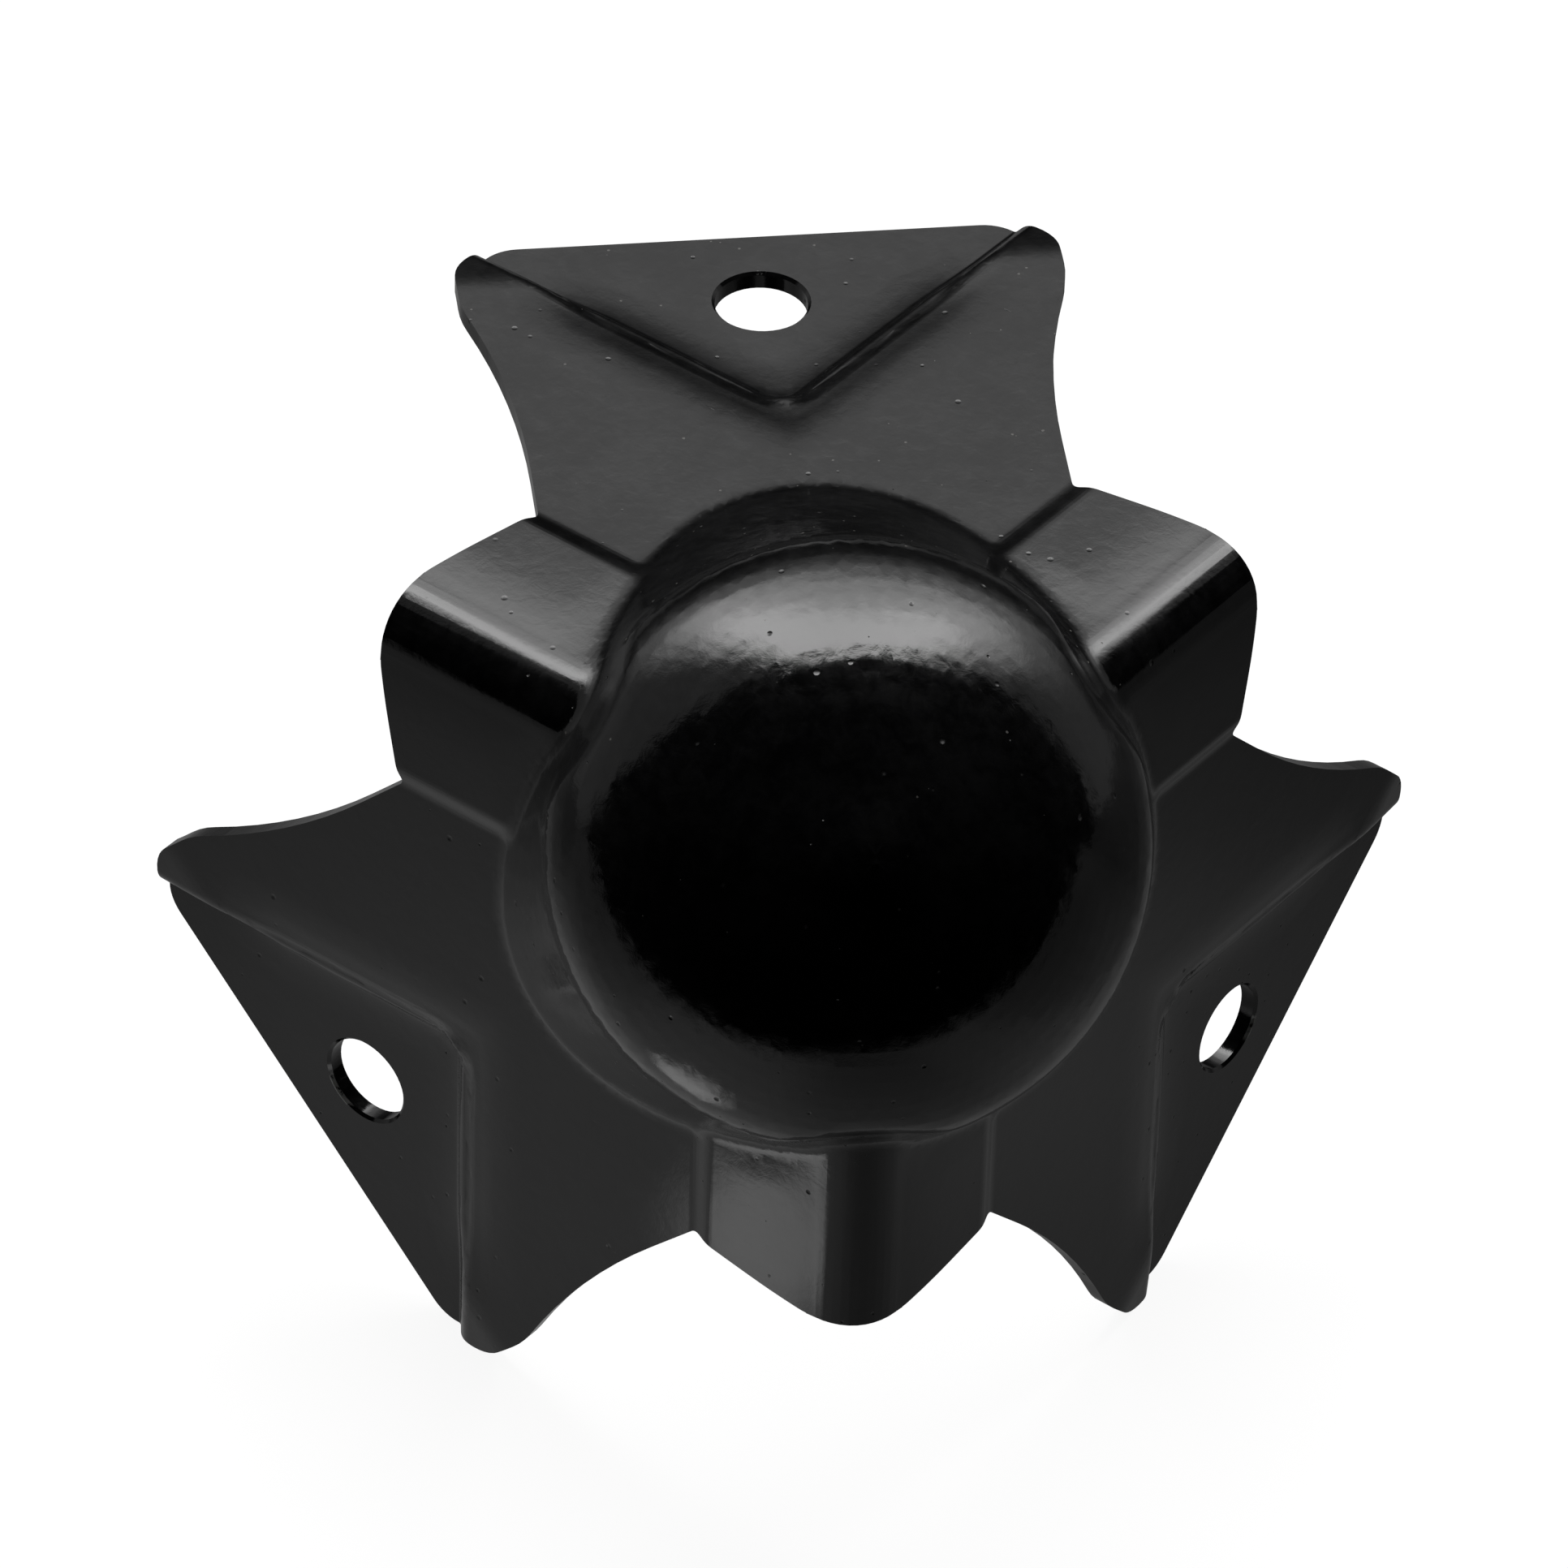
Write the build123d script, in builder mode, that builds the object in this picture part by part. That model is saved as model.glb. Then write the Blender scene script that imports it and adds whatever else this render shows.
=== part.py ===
# Corner for a flight case: one pressed steel sheet with a ball over the case's corner,
# three cranked legs that are riveted to the panels, and a short ear over each edge.
#
# Frame: the origin is the point where the outer faces of the case's three edge angles would meet.
# The case lies in x < 0, y > 0, z < 0. +Z, -Y and +X point out of its top, front and side panels.
from math import atan, cos, degrees, radians, sin, sqrt, tan
import os

from build123d import *

# Sheet
thickness = 1.2  # sheet metal
bend_radius = 2.6  # inside radius of the bend along each edge of the case

# Case that the corner fits
angle_width = 30.0  # flange of the aluminium edge angle
angle_thickness = 1.8  # height of that flange over the panel, so the crank's depth

# Ball
ball_radius = 19.4  # outside radius of the dome
ball_rise = 1.2  # how far the dome stands over the case's corner, along the diagonal
ball_draft = 10.0  # degrees that the wall below the dome opens towards the case
ball_foot_radius = 2.2  # outside fillet where the wall meets the legs and ears

# Crank: the step down from the edge angle to the panel
crank_clearance = 0.6  # from the angle's flange to the start of the step, inside
crank_run = 1.5  # length of the slope along the leg
crank_corner = 2.0  # inside radius of the slope's corner, seen from above
crank_top_radius = 0.5  # inside radius where the slope starts
crank_foot_radius = 0.4  # outside radius where the slope ends

# Leg, measured along the leg's middle line from the case's corner, and to each side of it
leg_length = 64.7  # to the straight end
waist_width = 17.0  # half the leg's width at its waist
waist_run = 5.0  # straight side from the notch to where the waist flares
flare_turn = 17.0  # degrees that the hollow curve of each side turns
shoulder_radius = 8.0  # curve that turns the side back before the lobe
lobe_run = 3.7  # straight side between that curve and the lobe's slant
lobe_slant = 3.3  # slant across the leg's corner, along the leg
lobe_radius = 4.2  # where the side meets the slant
end_corner_radius = 3.0  # where the slant meets the straight end
lobe_drop = 1.0  # how far the lobes are bent down towards the panel at the straight end
lobe_drop_run = 5.7  # length of that bend
lobe_drop_radius = 10.0  # middle radius of that bend
hole_place = 40.8  # rivet hole's centre from both edges of the case
hole_diameter = 6.1
hole_rim = 0.2  # chamfer of the hole's outer rim

# Ear: the flap over each edge of the case
ear_length = 37.9  # from the case's corner to the ear's end, at the edge
ear_width = 12.0  # from the edge to the crease between ear and leg
ear_flat = 3.0  # width of the square-cut part of its end, from the edge
ear_end_radius = 6.0  # where the end starts to slant back to the notch
notch_radius = 0.9  # in the notch between ear and leg
ridge_height = 0.5  # how far the ear's border stands over the leg
ridge_run = 1.4  # width of the slope up to it
ridge_foot_radius = 3.8  # inside radius at the slope's foot
ridge_top_radius = 1.0  # inside radius at its top

# Room round the part for the solids that cut it
block_size = 90.0
outer_room = 15.0

tolerance = 1e-4

# Directions of the case's three edges, away from its corner, and the diagonal out of the corner
left = Vector(-1, 0, 0)
right = Vector(0, 1, 0)
down = Vector(0, 0, -1)
diagonal = Vector(1, -1, 1).normalized()
across = Vector(1, 1, 0).normalized()
corner = (0, 0, 0)

# Planes square to the edges: local X and Y run inwards along the two faces that meet there
edge_planes = [
    Plane(origin=corner, x_dir=right, z_dir=left),
    Plane(origin=corner, x_dir=down, z_dir=right),
    Plane(origin=corner, x_dir=left, z_dir=down),
]
# Planes of the case's top, front and side: local X and Y run along the two edges of that face
face_planes = [
    Plane(origin=corner, x_dir=right, z_dir=(0, 0, 1)),
    Plane(origin=corner, x_dir=left, z_dir=(0, -1, 0)),
    Plane(origin=corner, x_dir=down, z_dir=(1, 0, 0)),
]


def grown(outline, skin):
    # Moves every side of an open outline to its left by skin.
    normals = []
    for start, end in zip(outline, outline[1:]):
        length = sqrt((end[0] - start[0]) ** 2 + (end[1] - start[1]) ** 2)
        normals.append(((start[1] - end[1]) / length, (end[0] - start[0]) / length))
    before = [normals[0]] + normals
    after = normals + [normals[-1]]
    moved = []
    for point, first, second in zip(outline, before, after):
        spread = 1 + first[0] * second[0] + first[1] * second[1]
        moved.append(tuple(p + skin * (a + b) / spread for p, a, b in zip(point, first, second)))
    return moved


def leg_point(along, from_edge):
    # A place on a leg, given along an edge of the case and from it, in the leg outline's own axes.
    return ((along - from_edge) / sqrt(2), (along + from_edge) / sqrt(2))


def step_edges(block, plane, level, start):
    # The edges of a crank's step that lie at a level over the case's face, near the step's start.
    def is_on_step(edge):
        places = [plane.to_local_coords(edge @ share) for share in (0, 0.5, 1)]
        near = min(places[1].X, places[1].Y)
        flat = all(abs(place.Z - level) < tolerance for place in places)
        return flat and start - tolerance < near < start + crank_corner
    return block.edges().filter_by(is_on_step)


def forming_block(skin):
    # The solid that fills the pressed sheet, grown by skin: 0 gives the sheet's inside
    # and the sheet's thickness gives its outside.
    with BuildPart() as block:
        # The case's corner, with rounded edges
        with BuildSketch(Plane.XY.offset(skin)):
            with Locations((skin, -skin)):
                Rectangle(block_size, block_size, align=(Align.MAX, Align.MIN))
        extrude(amount=-block_size)
        tip = Vertex(skin, -skin, skin)
        fillet(block.edges().filter_by(lambda edge: edge.distance_to(tip) < tolerance), bend_radius + skin)

        # The raised border along each edge
        ridge_foot = ear_width
        ridge_top = ridge_foot - ridge_run
        ridge = [
            (ridge_foot + ridge_run, 0),
            (ridge_foot, 0),
            (ridge_top, -ridge_height),
            (0, 0),
            (-ridge_height, ridge_top),
            (0, ridge_foot),
            (0, ridge_foot + ridge_run),
        ]
        ridge_radii = [
            ridge_foot_radius - skin,
            ridge_top_radius + skin,
            bend_radius + skin,
            ridge_top_radius + skin,
            ridge_foot_radius - skin,
        ]
        for plane in edge_planes:
            with BuildSketch(plane):
                with BuildLine():
                    border = FilletPolyline(*grown(ridge, skin), radius=ridge_radii)
                    Polyline(border @ 1, (ridge_foot, ridge_foot), border @ 0)
                make_face()
            extrude(amount=block_size - outer_room)

        # The ball: a dome on a wall with a little draft
        draft = radians(ball_draft)
        ball_setback = ball_radius - ball_rise
        radius = ball_radius - thickness + skin
        wall_top = Vector(radius * cos(draft), -ball_setback + radius * sin(draft))
        wall_depth = ball_setback + ball_radius
        wall_foot = Vector(wall_top.X + (wall_depth + wall_top.Y) * tan(draft), -wall_depth)
        with BuildSketch(Plane(origin=corner, x_dir=across, z_dir=across.cross(diagonal))):
            with BuildLine():
                CenterArc((0, -ball_setback), radius, ball_draft, 90 - ball_draft)
                Polyline(wall_top, wall_foot, (0, -wall_depth), (0, radius - ball_setback))
            make_face()
        revolve(axis=Axis(corner, diagonal))
        fillet(block.edges(Select.NEW), ball_foot_radius + thickness - skin)

        # The bend of the lobes, then the step down at each crank
        drop_start = leg_length - lobe_drop_run
        bend = [
            (drop_start - outer_room, 0),
            (drop_start, 0),
            (leg_length, -lobe_drop),
            (2 * block_size, -lobe_drop),
        ]
        bend_radii = [lobe_drop_radius + skin, lobe_drop_radius - skin]
        slope = atan(angle_thickness / crank_run)
        shift = skin * tan(slope / 2)
        step_foot = angle_width + crank_clearance + crank_run + shift
        for plane in face_planes:
            leg_section = Plane(corner, x_dir=plane.x_dir + plane.y_dir, z_dir=plane.x_dir - plane.y_dir)
            with BuildSketch(leg_section):
                with BuildLine():
                    drop = FilletPolyline(*grown(bend, skin), radius=bend_radii)
                    Polyline(
                        drop @ 1,
                        (2 * block_size, outer_room),
                        (drop_start - outer_room, outer_room),
                        drop @ 0,
                    )
                make_face()
            extrude(amount=block_size, both=True, mode=Mode.SUBTRACT)

            with BuildSketch(plane.offset(skin - angle_thickness)) as floor:
                with Locations((step_foot, step_foot)):
                    Rectangle(block_size, block_size, align=(Align.MIN, Align.MIN))
                fillet(floor.vertices().sort_by(lambda v: v.X**2 + v.Y**2)[0], crank_corner - shift)
            extrude(amount=angle_thickness + ridge_height, taper=degrees(slope) - 90, mode=Mode.SUBTRACT)
            step_top = step_foot - crank_run
            top_edges = step_edges(block, plane, skin, step_top)
            fillet(top_edges, crank_top_radius + skin)
            foot_edges = step_edges(block, plane, skin - angle_thickness, step_foot)
            fillet(foot_edges, crank_foot_radius + thickness - skin)
    return block.part


# The flat outline of one leg with the halves of the ears beside it: local Y is the leg's middle line
notch = leg_point(ear_width + waist_width * sqrt(2), ear_width)
waist_end = (waist_width, notch[1] + waist_run)
flare_length = leg_length - lobe_slant - lobe_run - waist_end[1]
flare_radius = flare_length / sin(radians(flare_turn)) - shoulder_radius
with BuildSketch() as leg_outline:
    with BuildLine():
        flare = JernArc(waist_end, (0, 1), flare_radius, -flare_turn)
        shoulder = JernArc(flare @ 1, flare % 1, shoulder_radius, flare_turn)
        side_width = (shoulder @ 1).X
        FilletPolyline(
            shoulder @ 1,
            (side_width, leg_length - lobe_slant),
            (side_width - lobe_slant, leg_length),
            (0, leg_length),
            radius=(lobe_radius, end_corner_radius),
        )
        FilletPolyline(
            waist_end,
            notch,
            leg_point(ear_length, ear_flat),
            leg_point(ear_length, -outer_room),
            leg_point(-outer_room, -outer_room),
            radius=(notch_radius, ear_end_radius, 0),
        )
        mirror(about=Plane.YZ)
    make_face()

# The three outlines, each as deep as the square-cut part of the ears
with BuildPart() as blank:
    for plane in face_planes:
        leg_plane = Plane(origin=corner, x_dir=plane.x_dir - plane.y_dir, z_dir=plane.z_dir)
        with BuildSketch(leg_plane.offset(-ear_flat)):
            add(leg_outline.sketch)
        extrude(amount=ear_flat + outer_room)

# The pressed sheet
with BuildPart() as corner_shell:
    add(forming_block(thickness))
    add(forming_block(0), mode=Mode.SUBTRACT)
    add(blank.part, mode=Mode.INTERSECT)
    for plane in face_planes:
        panel_side = plane.offset(thickness - angle_thickness)
        with BuildSketch(panel_side):
            with Locations((hole_place, hole_place)):
                Circle(hole_diameter / 2)
        extrude(amount=-2 * thickness, mode=Mode.SUBTRACT)
        rims = corner_shell.edges(Select.LAST).filter_by(GeomType.CIRCLE)
        chamfer(rims.sort_by(Axis(corner, panel_side.z_dir))[-1], hole_rim)
corner_shell.part.label = "corner_shell"

os.makedirs("parts", exist_ok=True)
export_step(corner_shell.part, "parts/corner_shell.step")
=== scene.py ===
from math import cos, degrees, radians, sin, sqrt

import bmesh
import bpy
from mathutils import Euler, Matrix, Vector
import numpy as np


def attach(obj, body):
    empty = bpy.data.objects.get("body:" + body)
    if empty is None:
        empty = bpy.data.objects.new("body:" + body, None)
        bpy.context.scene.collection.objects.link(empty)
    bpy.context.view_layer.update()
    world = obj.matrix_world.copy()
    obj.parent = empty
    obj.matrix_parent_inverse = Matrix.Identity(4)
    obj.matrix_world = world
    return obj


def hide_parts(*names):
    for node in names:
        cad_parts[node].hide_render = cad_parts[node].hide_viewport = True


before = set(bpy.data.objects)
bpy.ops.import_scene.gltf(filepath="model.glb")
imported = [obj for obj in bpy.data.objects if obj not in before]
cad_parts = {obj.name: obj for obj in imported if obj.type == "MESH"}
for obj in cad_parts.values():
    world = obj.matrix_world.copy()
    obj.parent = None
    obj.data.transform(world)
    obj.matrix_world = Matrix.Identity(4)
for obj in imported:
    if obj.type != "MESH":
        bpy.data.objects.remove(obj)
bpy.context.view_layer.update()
print("frame loaded")


# Small helpers for node trees
class NodeTree:
    def __init__(self, tree):
        self.tree = tree

    def add(self, kind, settings=None, **inputs):
        node = self.tree.nodes.new(kind)
        for name, value in (settings or {}).items():
            setattr(node, name, value)
        for name, value in inputs.items():
            self.feed(node.inputs[name.replace("_", " ")], value)
        return node

    def feed(self, socket, value):
        if isinstance(value, bpy.types.NodeSocket):
            self.tree.links.new(value, socket)
        else:
            socket.default_value = value

    def math(self, operation, *values, clamp=False):
        node = self.add("ShaderNodeMath", {"operation": operation, "use_clamp": clamp})
        for socket, value in zip(node.inputs, values):
            self.feed(socket, value)
        return node.outputs[0]

    def vector(self, operation, *values):
        node = self.add("ShaderNodeVectorMath", {"operation": operation})
        for socket, value in zip(node.inputs, values):
            self.feed(socket, value)
        return node.outputs["Value" if operation in ("DOT_PRODUCT", "LENGTH", "DISTANCE") else "Vector"]

    def reach(self, first, second):
        squares = [self.math("MULTIPLY", part, part) for part in (first, second)]
        return self.math("SQRT", self.math("ADD", *squares))

    def ramp(self, value, low, high, start=0.0, end=1.0, smooth=True):
        # value taken from low..high to start..end, held at both ends
        node = self.add("ShaderNodeMapRange", {"interpolation_type": "SMOOTHSTEP" if smooth else "LINEAR"})
        names = ("Value", "From Min", "From Max", "To Min", "To Max")
        for name, number in zip(names, (value, low, high, start, end)):
            self.feed(node.inputs[name], number)
        return node.outputs["Result"]

    def noise(self, place, scale, detail=3.0, rough=0.55, distortion=0.0):
        node = self.add("ShaderNodeTexNoise", Vector=place, Scale=scale, Detail=detail, Roughness=rough)
        node.inputs["Distortion"].default_value = distortion
        return node.outputs["Fac"]

    def mixColor(self, factor, first, second, blend="MIX"):
        node = self.add("ShaderNodeMix", {"data_type": "RGBA", "blend_type": blend})
        self.feed(node.inputs[0], factor)
        self.feed(node.inputs[6], first)
        self.feed(node.inputs[7], second)
        return node.outputs[2]


def newGroup(name, inputs, outputs):
    tree = bpy.data.node_groups.new(name, "ShaderNodeTree")
    for label, kind, value in inputs:
        socket = tree.interface.new_socket(label, in_out="INPUT", socket_type="NodeSocket" + kind)
        if value is not None:
            socket.default_value = value
    for label, kind in outputs:
        tree.interface.new_socket(label, in_out="OUTPUT", socket_type="NodeSocket" + kind)
    nodes = NodeTree(tree)
    return nodes, nodes.add("NodeGroupInput").outputs, nodes.add("NodeGroupOutput").inputs


# Sets a Float Curve node to points, the first at 0 and the last at 1
def fillCurve(node, points, handles):
    curve = node.mapping.curves[0]
    for point in points[1:-1]:
        curve.points.new(*point)
    curve.points[0].location = points[0]
    curve.points[-1].location = points[-1]
    for point in curve.points:
        point.handle_type = handles
    node.mapping.update()


def placeGroup(nodes, group, **inputs):
    node = nodes.add("ShaderNodeGroup")
    node.node_tree = group
    for name, value in inputs.items():
        nodes.feed(node.inputs[name.replace("_", " ")], value)
    return node.outputs


# Where a point lies on the pressed corner, in mm: from the nearest hole's middle and from the ball's foot
def makePlaceGroup():
    nodes, given, out = newGroup(
        "pressedPlace",
        [("Hole Place", "Float", 40.8), ("Ball Foot", "Float", 19.6)],
        [("Millimetres", "Vector"), ("From Hole", "Float"), ("From Ball Foot", "Float")],
    )
    coordinates = nodes.add("ShaderNodeTexCoord").outputs["Object"]
    millimetres = nodes.vector("MULTIPLY", coordinates, (1000, 1000, 1000))
    inward = nodes.vector("MULTIPLY", millimetres, (-1, 1, -1))
    parts = nodes.add("ShaderNodeSeparateXYZ", Vector=inward).outputs
    low = nodes.math("MINIMUM", nodes.math("MINIMUM", parts[0], parts[1]), parts[2])
    high = nodes.math("MAXIMUM", nodes.math("MAXIMUM", parts[0], parts[1]), parts[2])
    total = nodes.math("ADD", nodes.math("ADD", parts[0], parts[1]), parts[2])
    middle = nodes.math("SUBTRACT", nodes.math("SUBTRACT", total, low), high)
    besideHole = nodes.math("SUBTRACT", middle, given["Hole Place"])
    pastHole = nodes.math("SUBTRACT", high, given["Hole Place"])
    nodes.feed(out["From Hole"], nodes.reach(besideHole, pastHole))
    along = nodes.math("MULTIPLY", total, 1 / sqrt(3))
    length = nodes.vector("LENGTH", inward)
    square = nodes.math("MULTIPLY", length, length)
    square = nodes.math("SUBTRACT", square, nodes.math("MULTIPLY", along, along))
    radius = nodes.math("SQRT", nodes.math("MAXIMUM", square, 0.0))
    nodes.feed(out["From Ball Foot"], nodes.math("SUBTRACT", radius, given["Ball Foot"]))
    nodes.feed(out["Millimetres"], millimetres)
    return nodes.tree


# Uneven black coat: cloudy tone, fine orange peel, pits and short scratches. Scales are cells per mm
coatGrain = {
    "cloudScales": (0.16, 0.9),
    "cloudShares": (0.55, 0.45),
    "peelScale": 1.7,
    "pitCells": 0.75,
    "pitSize": 0.21,
    "scratchTurn": (0.6, 0.9, 0.4),
    "scratchStretch": (0.12, 1.3, 1.3),
    "scratchWidth": (0.05, 0.01),
}


def makeCoatGroup(grain):
    nodes, given, out = newGroup(
        "sprayedCoat",
        [("Place", "Vector", None), ("Seed", "Float", 0.0),
         ("Pit Share", "Float", 0.3), ("Scratch Share", "Float", 0.3)],
        [("Cloud", "Float"), ("Peel", "Float"), ("Pits", "Float"), ("Scratches", "Float")],
    )
    seed = given["Seed"]
    shift = nodes.add("ShaderNodeCombineXYZ", X=seed, Y=seed, Z=seed).outputs[0]
    place = nodes.vector("ADD", given["Place"], shift)
    broad = nodes.noise(place, grain["cloudScales"][0], 4.0, 0.6)
    close = nodes.noise(place, grain["cloudScales"][1], 5.0, 0.65, 0.4)
    broad = nodes.math("MULTIPLY", broad, grain["cloudShares"][0])
    close = nodes.math("MULTIPLY", close, grain["cloudShares"][1])
    nodes.feed(out["Cloud"], nodes.math("ADD", broad, close))
    nodes.feed(out["Peel"], nodes.noise(place, grain["peelScale"], 3.0, 0.5))
    # each cell has one pit at most, of its own size
    cells = nodes.add("ShaderNodeTexVoronoi", {"feature": "F1"}, Vector=place, Scale=grain["pitCells"])
    lot = nodes.add("ShaderNodeSeparateColor", Color=cells.outputs["Color"]).outputs
    keep = nodes.ramp(lot[0], nodes.math("SUBTRACT", 1.0, given["Pit Share"]), 1.0, smooth=False)
    pit = nodes.ramp(cells.outputs["Distance"], nodes.math("MULTIPLY", keep, grain["pitSize"]), 0.0)
    nodes.feed(out["Pits"], nodes.math("MULTIPLY", pit, nodes.math("GREATER_THAN", keep, 0.0)))
    # scratches are cells drawn out to one side
    stretched = nodes.add("ShaderNodeMapping", Vector=place)
    stretched.inputs["Rotation"].default_value = grain["scratchTurn"]
    stretched.inputs["Scale"].default_value = grain["scratchStretch"]
    streaks = nodes.add("ShaderNodeTexVoronoi", {"feature": "F1"}, Vector=stretched.outputs[0], Scale=1.0)
    lot = nodes.add("ShaderNodeSeparateColor", Color=streaks.outputs["Color"]).outputs
    chosen = nodes.math("LESS_THAN", lot[1], given["Scratch Share"])
    streak = nodes.ramp(streaks.outputs["Distance"], *grain["scratchWidth"])
    nodes.feed(out["Scratches"], nodes.math("MULTIPLY", streak, chosen))
    return nodes.tree


placeOnCorner = makePlaceGroup()
sprayedCoat = makeCoatGroup(coatGrain)
print("shader groups made")


# The coat's tones, gloss, relief and worn places, with lengths in mm
coatLook = {
    "black": (0.0016, 0.0016, 0.0017, 1),
    "faded": (0.0058, 0.0058, 0.006, 1),
    "fadedCloud": (0.36, 0.66),
    "zinc": (0.32, 0.32, 0.31, 1),
    "dust": (0.22, 0.21, 0.195, 1),
    "roughness": (0.07, 0.15),
    "roughCloud": (0.35, 0.65),
    "spotRoughness": 0.5,
    "peelHeight": 0.0012,
    "dentHeight": 0.032,
    "pitHeight": 0.05,
    "scratchHeight": 0.02,
    "pitShare": 0.34,
    "scratchShare": 0.05,
    "rimBand": (3.09, 3.36),
    "rimFade": (0.04, 0.1),
    "wornSpots": (((-43.2, 0.6, -43.0), 1.6), ((-0.6, 43.5, -42.5), 1.1), ((-42.8, 43.3, -0.6), 0.4)),
    "wornCore": 0.6,
    "wornBreaks": (0.4, 0.5),
    "wornMetal": 0.3,
    "crumbCells": 1.7,
    "crumbBand": (1.6, 0.2),
    "crumbLimit": (0.985, 0.84),
    "crumbSize": (0.07, 0.22),
    "crumbCore": 0.4,
    "crumbTone": 0.3,
}


def makeBlackCoat(look):
    material = bpy.data.materials.new("blackCoat")
    material.use_nodes = True
    nodes = NodeTree(material.node_tree)
    shader = material.node_tree.nodes["Principled BSDF"]
    spot = placeGroup(nodes, placeOnCorner)
    coat = placeGroup(nodes, sprayedCoat, Place=spot["Millimetres"], Seed=3.0,
                      Pit_Share=look["pitShare"], Scratch_Share=look["scratchShare"])
    # bare metal on a short stretch of each hole's rim
    inner, outer = look["rimBand"]
    inside = nodes.ramp(spot["From Hole"], outer, outer - look["rimFade"][1])
    beyond = nodes.ramp(spot["From Hole"], inner - look["rimFade"][0], inner)
    rim = nodes.math("MULTIPLY", inside, beyond)
    worn = 0.0
    for middle, reach in look["wornSpots"]:
        away = nodes.vector("DISTANCE", spot["Millimetres"], middle)
        worn = nodes.math("MAXIMUM", worn, nodes.ramp(away, reach, reach * look["wornCore"]))
    broken = nodes.ramp(nodes.noise(spot["Millimetres"], 1.1, 5.0, 0.7), *look["wornBreaks"])
    worn = nodes.math("MULTIPLY", nodes.math("MULTIPLY", rim, worn), broken)
    # pale crumbs, many along the ball's foot and few elsewhere
    foot = nodes.ramp(nodes.math("ABSOLUTE", spot["From Ball Foot"]), *look["crumbBand"])
    speck = nodes.add("ShaderNodeTexVoronoi", {"feature": "F1"}, Vector=spot["Millimetres"],
                      Scale=look["crumbCells"])
    lot = nodes.add("ShaderNodeSeparateColor", Color=speck.outputs["Color"]).outputs
    picked = nodes.math("GREATER_THAN", lot[2], nodes.ramp(foot, 0.0, 1.0, *look["crumbLimit"]))
    size = nodes.ramp(lot[0], 0.0, 1.0, *look["crumbSize"])
    crumbs = nodes.ramp(speck.outputs["Distance"], size, nodes.math("MULTIPLY", size, look["crumbCore"]))
    crumbs = nodes.math("MULTIPLY", crumbs, picked)
    color = nodes.mixColor(nodes.ramp(coat["Cloud"], *look["fadedCloud"]), look["black"], look["faded"])
    color = nodes.mixColor(nodes.math("MULTIPLY", crumbs, look["crumbTone"]), color, look["dust"])
    color = nodes.mixColor(worn, color, look["zinc"])
    nodes.feed(shader.inputs["Base Color"], color)
    nodes.feed(shader.inputs["Metallic"], nodes.math("MULTIPLY", worn, look["wornMetal"]))
    rough = nodes.ramp(coat["Cloud"], *look["roughCloud"], *look["roughness"])
    spots = nodes.math("MULTIPLY", nodes.math("ADD", coat["Pits"], crumbs), look["spotRoughness"])
    nodes.feed(shader.inputs["Roughness"], nodes.math("ADD", rough, spots, clamp=True))
    height = nodes.math("MULTIPLY", coat["Peel"], look["peelHeight"])
    height = nodes.math("ADD", height, nodes.math("MULTIPLY", coat["Cloud"], look["dentHeight"]))
    height = nodes.math("SUBTRACT", height, nodes.math("MULTIPLY", coat["Pits"], look["pitHeight"]))
    scratches = nodes.math("MULTIPLY", coat["Scratches"], look["scratchHeight"])
    height = nodes.math("SUBTRACT", height, scratches)
    bump = nodes.add("ShaderNodeBump", Height=height, Strength=1.0, Distance=0.001)
    nodes.feed(shader.inputs["Normal"], bump.outputs[0])
    return material


# The pressed sheet: a merged copy of the CAD sheet whose ball is a little flatter with a tighter shoulder,
# whose ears are crowned and whose cranks are softer, as drawn steel is. Lengths are in mm, and pairs give
# a place inwards from the case's planes and how far the sheet moves out there
sheetForm = {
    "thickness": 1.2,
    "bendCentre": 2.6,
    "ballDepth": 18.2,
    "ballRadius": 19.4,
    "ballEnd": 80.0,
    "domeRadius": 21.5,
    "domeDepth": 21.2,
    "domeEnd": 54.0,
    "shoulderRadius": 9.0,
    "clearOfEars": (1.0, 3.2),
    "crown": ((-1.0, 0.0), (0.0, 0.0), (1.2, -0.03), (2.4, -0.03), (3.6, 0.04),
              (5.0, 0.09), (6.5, 0.1), (8.5, 0.06), (11.0, 0.0), (12.0, 0.0)),
    "crank": ((25.5, 0.0), (26.8, 0.0), (28.0, -0.05), (29.2, -0.18), (30.2, -0.36), (31.2, -0.4),
              (32.2, 0.3), (33.2, 0.18), (34.4, 0.06), (35.6, 0.0), (36.6, 0.0)),
    "crankCorner": 0.6,
    "crankEnd": (46.0, 53.0),
    "crownFromBall": (0.2, 3.0),
    "sharpAngle": 38.0,
    "gridRange": (-8.5, 38.0),
    "gridStep": 1.0,
    "extraCuts": (2.0, 3.0, 4.0, 5.0, 6.0, 29.0, 30.0, 31.0, 32.0, 33.0, 34.0,
                  40.0, 42.5, 45.0, 47.0, 49.0, 51.0, 53.0, 55.0),
    "ballSkin": 0.06,
    "earLength": 38.5,
}
millimetre = 0.001
diagonal = np.array((1.0, -1.0, 1.0)) / sqrt(3)
outwardSigns = np.array((1.0, -1.0, 1.0))


def smoothShare(value, low, high):
    share = np.clip((value - low) / (high - low), 0, 1)
    return share * share * (3 - 2 * share)


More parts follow.
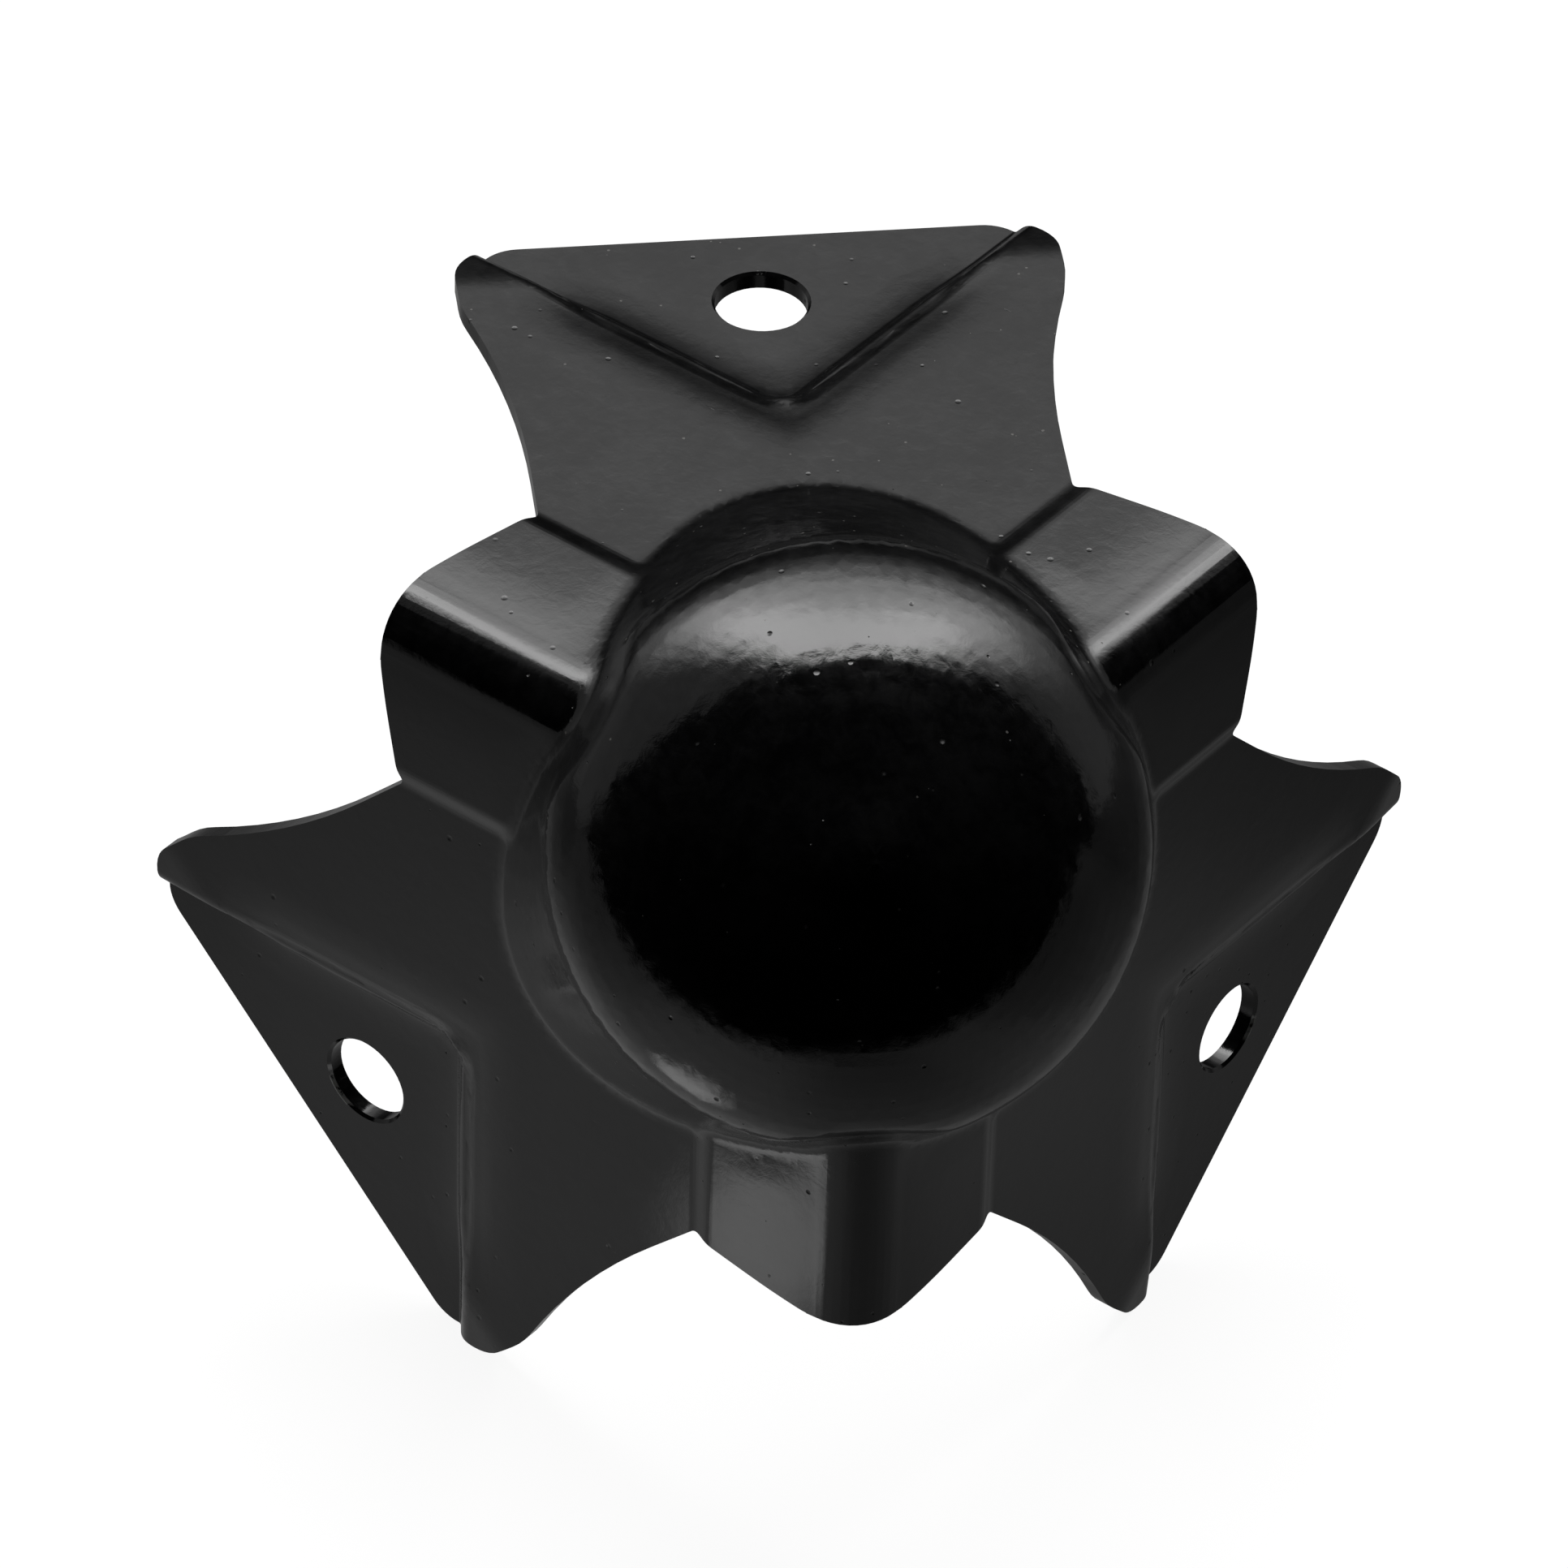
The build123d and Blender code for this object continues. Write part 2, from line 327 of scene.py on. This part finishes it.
# Smooth curve through points, as a cubic with the slopes of its neighbours
def curveThrough(points, value):
    places, heights = np.array(points).T
    slopes = np.gradient(heights, places)
    index = np.clip(np.searchsorted(places, value) - 1, 0, len(places) - 2)
    length = places[index + 1] - places[index]
    share = np.clip((value - places[index]) / length, 0, 1)
    rest = 1 - share
    ends = heights[index] * (1 + 2 * share) * rest**2 + heights[index + 1] * (3 - 2 * share) * share**2
    return ends + length * (slopes[index] * share * rest**2 - slopes[index + 1] * share**2 * rest)


# Radius and height along the diagonal on the flatter ball's outside, and its slant, by share of its outline
def flatterBall(form, share):
    start, end = radians(form["domeEnd"]), radians(form["ballEnd"])
    dome, shoulder = form["domeRadius"], form["shoulderRadius"]
    centre = ((dome - shoulder) * sin(start), (dome - shoulder) * cos(start) - form["domeDepth"])
    foot = (centre[0] + shoulder * sin(end), centre[1] + shoulder * cos(end))
    oldFoot = (form["ballRadius"] * sin(end), form["ballRadius"] * cos(end) - form["ballDepth"])
    wall = np.hypot(oldFoot[0] - foot[0], oldFoot[1] - foot[1])
    lengths = (dome * start, shoulder * (end - start), wall)
    along = share * sum(lengths)
    onDome = np.minimum(along, lengths[0]) / dome
    onShoulder = np.clip(along - lengths[0], 0, lengths[1]) / shoulder
    onWall = np.clip(along - lengths[0] - lengths[1], 0, wall) / wall
    turn = onDome + onShoulder
    beyond = along > lengths[0]
    radius = np.where(beyond, centre[0] + shoulder * np.sin(turn), dome * np.sin(turn))
    height = np.where(beyond, centre[1] + shoulder * np.cos(turn), dome * np.cos(turn) - form["domeDepth"])
    radius = radius + onWall * (oldFoot[0] - foot[0])
    height = height + onWall * (oldFoot[1] - foot[1])
    return radius, height, turn


def reshape(form, points):
    q = points * outwardSigns
    # crowned ears: the two outermost directions name the edge, the third runs along it
    order = np.argsort(-q, axis=1)
    rows = np.arange(len(q))
    bend = form["bendCentre"]
    first, second, third = (q[rows, order[:, i]] for i in range(3))
    crown = curveThrough(form["crown"], -second)
    centre = points + form["ballDepth"] * diagonal
    fromCentre = np.linalg.norm(centre, axis=1)
    crown = crown * smoothShare(fromCentre - form["ballRadius"], *form["crownFromBall"])
    crown = crown * (-third < form["earLength"]) * (first > -bend)
    outward = np.zeros_like(q)
    outward[rows, order[:, 0]] = np.maximum(first + bend, 0)
    outward[rows, order[:, 1]] = np.maximum(second + bend, 0)
    outward /= np.maximum(np.linalg.norm(outward, axis=1, keepdims=True), 1e-6)
    moved = points + outward * outwardSigns * crown[:, None]
    # softer cranks: the sheet sinks before each step and is filled a little behind it
    middle = -(second + third) / 2 - np.sqrt((second - third) ** 2 / 4 + form["crankCorner"] ** 2)
    sunk = curveThrough(form["crank"], middle) * (1 - smoothShare(-third, *form["crankEnd"]))
    moved[rows, order[:, 0]] += outwardSigns[order[:, 0]] * sunk
    # the ball
    height = centre @ diagonal
    sideways = centre - height[:, None] * diagonal
    spread = np.maximum(np.linalg.norm(sideways, axis=1), 1e-6)
    turn = np.degrees(np.arctan2(spread, height))
    depth = np.clip(form["ballRadius"] - fromCentre, 0, form["thickness"])
    offOuter = np.abs(fromCentre - form["ballRadius"])
    offInner = np.abs(fromCentre - form["ballRadius"] + form["thickness"])
    onBall = (np.minimum(offOuter, offInner) < form["ballSkin"]) & (turn < form["ballEnd"])
    radius, level, newTurn = flatterBall(form, np.clip(turn / form["ballEnd"], 0, 1))
    radius = radius - depth * np.sin(newTurn)
    level = level - depth * np.cos(newTurn)
    target = level[:, None] * diagonal + radius[:, None] * sideways / spread[:, None]
    clear = np.linalg.norm(np.maximum(q + bend, 0), axis=1) - bend - form["thickness"] + depth
    share = smoothShare(clear, *form["clearOfEars"]) * onBall
    return moved + share[:, None] * (target - moved)


def makeSheet(form):
    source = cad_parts["corner_shell"]
    mesh = source.data.copy()
    mesh.name = "pressedSheet"
    shape = bmesh.new()
    shape.from_mesh(mesh)
    shape.transform(source.matrix_world)
    bmesh.ops.remove_doubles(shape, verts=shape.verts, dist=1e-6)
    bmesh.ops.dissolve_degenerate(shape, dist=1e-6, edges=shape.edges)
    for edge in shape.edges:
        edge.smooth = edge.calc_face_angle(0) < radians(form["sharpAngle"])
    # cut into a fine grid along the case's planes, finer at the bends and cranks
    low, high = form["gridRange"]
    places = list(np.arange(low, high, form["gridStep"])) + list(form["extraCuts"])
    for axis, sign in (((1, 0, 0), -1), ((0, 1, 0), 1), ((0, 0, 1), -1)):
        for place in places:
            everything = shape.verts[:] + shape.edges[:] + shape.faces[:]
            cut = Vector(axis) * sign * place * millimetre
            bmesh.ops.bisect_plane(shape, geom=everything, dist=2e-5, plane_co=cut, plane_no=axis)
    bmesh.ops.triangulate(shape, faces=[face for face in shape.faces if len(face.verts) > 3])
    points = np.array([vertex.co for vertex in shape.verts]) / millimetre
    for vertex, place in zip(shape.verts, reshape(form, points) * millimetre):
        vertex.co = place
    shape.to_mesh(mesh)
    shape.free()
    mesh.shade_smooth()
    sheet = bpy.data.objects.new("pressedSheet", mesh)
    bpy.context.scene.collection.objects.link(sheet)
    weighted = sheet.modifiers.new("flatFaces", "WEIGHTED_NORMAL")
    weighted.keep_sharp = True
    weighted.weight = 60
    finished = bpy.data.meshes.new_from_object(sheet.evaluated_get(bpy.context.evaluated_depsgraph_get()))
    sheet.modifiers.remove(weighted)
    print("mended faces", finished.validate())
    sheet.data = finished
    print("sheet triangles", len(finished.polygons))
    return sheet


pressedSheet = makeSheet(sheetForm)
pressedSheet.data.materials.clear()
pressedSheet.data.materials.append(makeBlackCoat(coatLook))
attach(pressedSheet, "root")
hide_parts("corner_shell")
print("sheet formed and coated")


# Studio: a white table whose glow in reflections carries painted light and painted shade, and a softbox
# behind and over the corner, in a dark room
studio = {
    "tableHeight": -0.0574,
    "tableSize": 2.0,
    # painted light and painted shade on the table, seen only in reflections: where its glow ends in front,
    # how it dims behind, the shade across it and a brighter patch
    "tableFront": (-0.068, -0.048),
    "paintedDimmingBehind": (0.015, 0.055, 0.6),
    "paintedShadeAcrossTable": ((-0.35, 0.16), (-0.12, 0.2), (-0.08, 0.26), (-0.045, 0.34), (-0.02, 0.3),
                   (0.015, 0.15), (0.05, 0.2), (0.07, 0.14), (0.1, 0.12), (0.35, 0.12)),
    "paintedLightPatch": (-0.031, -0.009, 0.013, 1.15),
    "paintedLightPatchCore": 0.4,
    "paperGlow": 0.92,
    "paperWhite": (0.13, 0.13, 0.13, 1),
    "turn": 37.0,
    "wallNormal": (-0.186, 0.948, -0.21),
    "wallEdge": (-0.012, 0.012),
    "roomEdge": (-0.005, 0.035),
    "wallGlow": 0.26,
    "softboxSide": (66.0, 44.0),
    "softboxDip": (13.0, 36.0, 16.0),
    "softboxRise": ((0, 0.01), (12, 0.03), (18, 0.07), (23, 0.17), (29, 0.38), (34, 0.78), (39.5, 1.03),
                    (44, 2.2), (49, 3.2), (57, 4.4), (67, 7.0), (90, 7.6)),
    "skyForCamera": (1.0, 1.0, 1.0, 1),
}


def makeTable(choice):
    half = choice["tableSize"] / 2
    level = choice["tableHeight"]
    corners = [(-half, -half, level), (half, -half, level), (half, half, level), (-half, half, level)]
    mesh = bpy.data.meshes.new("studioTable")
    mesh.from_pydata(corners, [], [(0, 1, 2, 3)])
    table = bpy.data.objects.new("studioTable", mesh)
    bpy.context.scene.collection.objects.link(table)
    material = bpy.data.materials.new("whitePaperWithPaintedGlow")
    material.use_nodes = True
    tree = material.node_tree
    tree.nodes.clear()
    nodes = NodeTree(tree)
    place = nodes.add("ShaderNodeTexCoord").outputs["Object"]
    turn = radians(choice["turn"])
    aside = nodes.vector("DOT_PRODUCT", place, (cos(turn), sin(turn), 0))
    behind = nodes.vector("DOT_PRODUCT", place, (-sin(turn), cos(turn), 0))
    # the camera sees white paper with a faint shadow; every other ray sees the table glow with painted
    # light and painted shade, and that glow ends in front
    low, high = choice["paintedShadeAcrossTable"][0][0], choice["paintedShadeAcrossTable"][-1][0]
    points = [((offset - low) / (high - low), strength) for offset, strength in choice["paintedShadeAcrossTable"]]
    # painted shade: the glow that reflections see changes across the table and dims further behind, in
    # place of the softbox's light and the corner's shadow on the table
    shade = nodes.add("ShaderNodeFloatCurve", Value=nodes.ramp(aside, low, high, smooth=False))
    fillCurve(shade, points, "AUTO")
    near, far, backShare = choice["paintedDimmingBehind"]
    lit = nodes.math("MULTIPLY", shade.outputs[0], nodes.ramp(behind, near, far, 1.0, backShare))
    lit = nodes.math("MULTIPLY", lit, nodes.ramp(behind, *choice["tableFront"]))
    # painted pool of light: a round brighter patch in the table's glow, seen only in reflections
    middleAside, middleBehind, radius, strength = choice["paintedLightPatch"]
    away = nodes.reach(nodes.math("SUBTRACT", aside, middleAside),
                       nodes.math("SUBTRACT", behind, middleBehind))
    core = choice["paintedLightPatchCore"] * radius
    lit = nodes.math("ADD", lit, nodes.ramp(away, radius, core, 0.0, strength))
    # painted glow: rays other than the camera's see the table as an emitter carrying this painted light and
    # shade
    paintedTableGlow = nodes.add("ShaderNodeEmission", Color=(1, 1, 1, 1), Strength=lit)
    glow = nodes.add("ShaderNodeEmission", Color=(1, 1, 1, 1), Strength=choice["paperGlow"])
    paper = nodes.add("ShaderNodeBsdfDiffuse", Color=choice["paperWhite"])
    seen = nodes.add("ShaderNodeAddShader")
    mix = nodes.add("ShaderNodeMixShader")
    output = nodes.add("ShaderNodeOutputMaterial")
    tree.links.new(glow.outputs[0], seen.inputs[0])
    tree.links.new(paper.outputs[0], seen.inputs[1])
    tree.links.new(nodes.add("ShaderNodeLightPath").outputs["Is Camera Ray"], mix.inputs[0])
    tree.links.new(paintedTableGlow.outputs[0], mix.inputs[1])
    tree.links.new(seen.outputs[0], mix.inputs[2])
    tree.links.new(mix.outputs[0], output.inputs["Surface"])
    mesh.materials.append(material)


def makeStudioLight(choice):
    world = bpy.data.worlds.new("studioLight")
    bpy.context.scene.world = world
    world.use_nodes = True
    tree = world.node_tree
    tree.nodes.clear()
    nodes = NodeTree(tree)
    direction = nodes.add("ShaderNodeTexCoord").outputs["Generated"]
    turned = nodes.add("ShaderNodeVectorRotate", {"rotation_type": "Z_AXIS"}, Vector=direction,
                       Angle=radians(-choice["turn"])).outputs[0]
    parts = nodes.add("ShaderNodeSeparateXYZ", Vector=turned).outputs
    # a lit wall ends along a slanting line overhead; everything before that line is dark
    wall = nodes.ramp(nodes.vector("DOT_PRODUCT", turned, choice["wallNormal"]), *choice["wallEdge"])
    wall = nodes.math("MULTIPLY", wall, nodes.ramp(parts[1], *choice["roomEdge"]))
    side = nodes.math("ABSOLUTE", nodes.math("ARCTAN2", parts[0], parts[1]))
    side = nodes.math("MULTIPLY", side, degrees(1))
    up = nodes.math("MULTIPLY", nodes.math("ARCSINE", parts[2]), degrees(1))
    # the softbox's lower edge dips at both sides
    dip, over, most = choice["softboxDip"]
    share = nodes.math("POWER", nodes.math("MULTIPLY", side, 1 / over), 2.0)
    up = nodes.math("ADD", up, nodes.math("MINIMUM", nodes.math("MULTIPLY", share, dip), most))
    highest, brightest = choice["softboxRise"][-1]
    points = [(angle / highest, strength / brightest) for angle, strength in choice["softboxRise"]]
    rise = nodes.add("ShaderNodeFloatCurve", Value=nodes.math("MULTIPLY", up, 1 / highest, clamp=True))
    fillCurve(rise, points, "AUTO_CLAMPED")
    box = nodes.math("MULTIPLY", rise.outputs[0], brightest)
    glow = nodes.ramp(side, *choice["softboxSide"], choice["wallGlow"], box)
    glow = nodes.math("MULTIPLY", glow, wall)
    lights = nodes.add("ShaderNodeBackground", Color=(1, 1, 1, 1), Strength=glow)
    sky = nodes.add("ShaderNodeBackground", Color=choice["skyForCamera"], Strength=1.0)
    mix = nodes.add("ShaderNodeMixShader")
    tree.links.new(nodes.add("ShaderNodeLightPath").outputs["Is Camera Ray"], mix.inputs[0])
    tree.links.new(lights.outputs[0], mix.inputs[1])
    tree.links.new(sky.outputs[0], mix.inputs[2])
    output = nodes.add("ShaderNodeOutputWorld")
    tree.links.new(mix.outputs[0], output.inputs["Surface"])


makeTable(studio)
makeStudioLight(studio)
print("studio built")


# Camera at the photograph's place
cameraView = {
    "place": (0.28698, -0.39105, 0.40415),
    "turn": (50.4519, -1.3526, 38.1328),
    "lens": 238.854,
    "shift": (0.007339, 0.015839),
    "clipStart": 0.01,
}

camera = bpy.data.cameras.new("photoCamera")
camera.lens = cameraView["lens"]
camera.sensor_width = 36.0
camera.shift_x, camera.shift_y = cameraView["shift"]
camera.clip_start = cameraView["clipStart"]
cameraObject = bpy.data.objects.new("photoCamera", camera)
cameraObject.location = Vector(cameraView["place"])
cameraObject.rotation_euler = Euler([radians(angle) for angle in cameraView["turn"]])
bpy.context.scene.collection.objects.link(cameraObject)
bpy.context.scene.camera = cameraObject
bpy.context.scene.view_settings.view_transform = "Standard"
print("camera placed")
